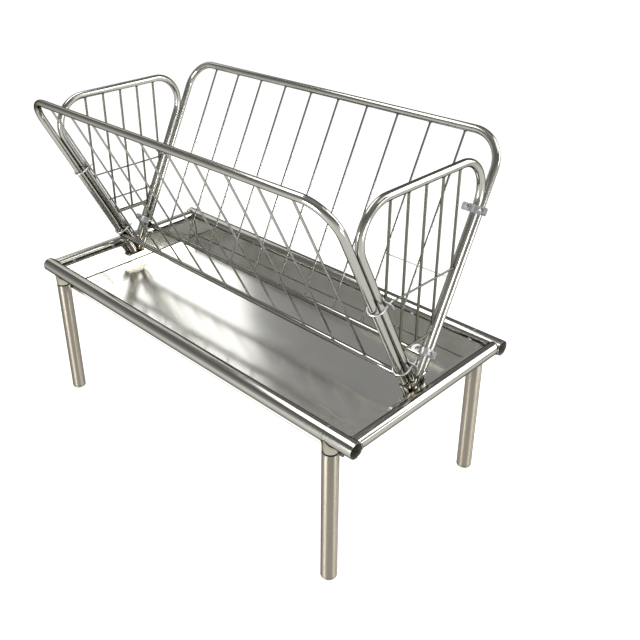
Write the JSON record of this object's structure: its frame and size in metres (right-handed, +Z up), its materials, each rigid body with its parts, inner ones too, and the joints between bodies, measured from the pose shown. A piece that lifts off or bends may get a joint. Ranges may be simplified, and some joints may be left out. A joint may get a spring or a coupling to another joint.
{
  "type": "hay feeder",
  "caption": "Tube frame with a sheet tray on plug-on legs, carrying a V-shaped barred hay rack held by U-bolt clamps, for sheep and goats.",
  "frame": {"origin": "On the ground, below the middle of the feeder.", "axes": "+X along the long rails, towards the right end; +Y across, towards the rear; +Z up."},
  "size_m": [1.566, 0.758, 1.2015],
  "materials": {
    "polished_stainless": "polished",
    "satin_stainless": "satin",
    "sheet_stainless": "mill finish sheet",
    "wire_stainless": "bright drawn",
    "zinc_plate": "zinc plated"
  },
  "bodies": {
    "frame": {"long_rail_front": "polished_stainless", "long_rail_rear": "polished_stainless", "end_rail_left": "polished_stainless", "foot_plate_left": "sheet_stainless", "end_frame_left": "polished_stainless", "end_bars_left": "wire_stainless", "end_rail_right": "polished_stainless", "foot_plate_right": "sheet_stainless", "end_frame_right": "polished_stainless", "end_bars_right": "wire_stainless", "tray": "sheet_stainless", "leg_stub_front_left": "polished_stainless", "socket_front_left": "polished_stainless", "clamp_bolt_front_left_upper": "zinc_plate", "clamp_saddle_front_left_upper": "zinc_plate", "clamp_nut_front_left_upper_a": "zinc_plate", "clamp_nut_front_left_upper_b": "zinc_plate", "leg_stub_front_right": "polished_stainless", "socket_front_right": "polished_stainless", "clamp_bolt_front_right_upper": "zinc_plate", "clamp_saddle_front_right_upper": "zinc_plate", "clamp_nut_front_right_upper_a": "zinc_plate", "clamp_nut_front_right_upper_b": "zinc_plate", "leg_stub_rear_left": "polished_stainless", "socket_rear_left": "polished_stainless", "clamp_bolt_rear_left_upper": "zinc_plate", "clamp_saddle_rear_left_upper": "zinc_plate", "clamp_nut_rear_left_upper_a": "zinc_plate", "clamp_nut_rear_left_upper_b": "zinc_plate", "leg_stub_rear_right": "polished_stainless", "socket_rear_right": "polished_stainless", "clamp_bolt_rear_right_upper": "zinc_plate", "clamp_saddle_rear_right_upper": "zinc_plate", "clamp_nut_rear_right_upper_a": "zinc_plate", "clamp_nut_rear_right_upper_b": "zinc_plate"},
    "side_panel_front": {"side_frame_front": "polished_stainless", "side_bars_front": "wire_stainless", "clamp_bolt_front_left_lower": "zinc_plate", "clamp_saddle_front_left_lower": "zinc_plate", "clamp_nut_front_left_lower_a": "zinc_plate", "clamp_nut_front_left_lower_b": "zinc_plate", "clamp_bolt_front_right_lower": "zinc_plate", "clamp_saddle_front_right_lower": "zinc_plate", "clamp_nut_front_right_lower_a": "zinc_plate", "clamp_nut_front_right_lower_b": "zinc_plate"},
    "leg_front_left": {"leg_front_left": "satin_stainless"},
    "leg_front_right": {"leg_front_right": "satin_stainless"},
    "side_panel_rear": {"side_frame_rear": "polished_stainless", "side_bars_rear": "wire_stainless", "clamp_bolt_rear_left_lower": "zinc_plate", "clamp_saddle_rear_left_lower": "zinc_plate", "clamp_nut_rear_left_lower_a": "zinc_plate", "clamp_nut_rear_left_lower_b": "zinc_plate", "clamp_bolt_rear_right_lower": "zinc_plate", "clamp_saddle_rear_right_lower": "zinc_plate", "clamp_nut_rear_right_lower_a": "zinc_plate", "clamp_nut_rear_right_lower_b": "zinc_plate"},
    "leg_rear_left": {"leg_rear_left": "satin_stainless"},
    "leg_rear_right": {"leg_rear_right": "satin_stainless"}
  },
  "joints": [
    {"name": "leg_slide_front_left", "type": "slide", "parent": "frame", "child": "leg_front_left", "axis": [0, 0, -1], "range_m": [0, 0.08]},
    {"name": "leg_slide_front_right", "type": "slide", "parent": "frame", "child": "leg_front_right", "axis": [0, 0, -1], "range_m": [0, 0.08]},
    {"name": "leg_slide_rear_left", "type": "slide", "parent": "frame", "child": "leg_rear_left", "axis": [0, 0, -1], "range_m": [0, 0.08]},
    {"name": "leg_slide_rear_right", "type": "slide", "parent": "frame", "child": "leg_rear_right", "axis": [0, 0, -1], "range_m": [0, 0.08]},
    {"name": "side_panel_slide_front", "type": "slide", "parent": "frame", "child": "side_panel_front", "axis": [0, -0.4494, 0.8933], "range_m": [0, 0.04]},
    {"name": "side_panel_slide_rear", "type": "slide", "parent": "frame", "child": "side_panel_rear", "axis": [0, 0.4494, 0.8933], "range_m": [0, 0.04]}
  ]
}
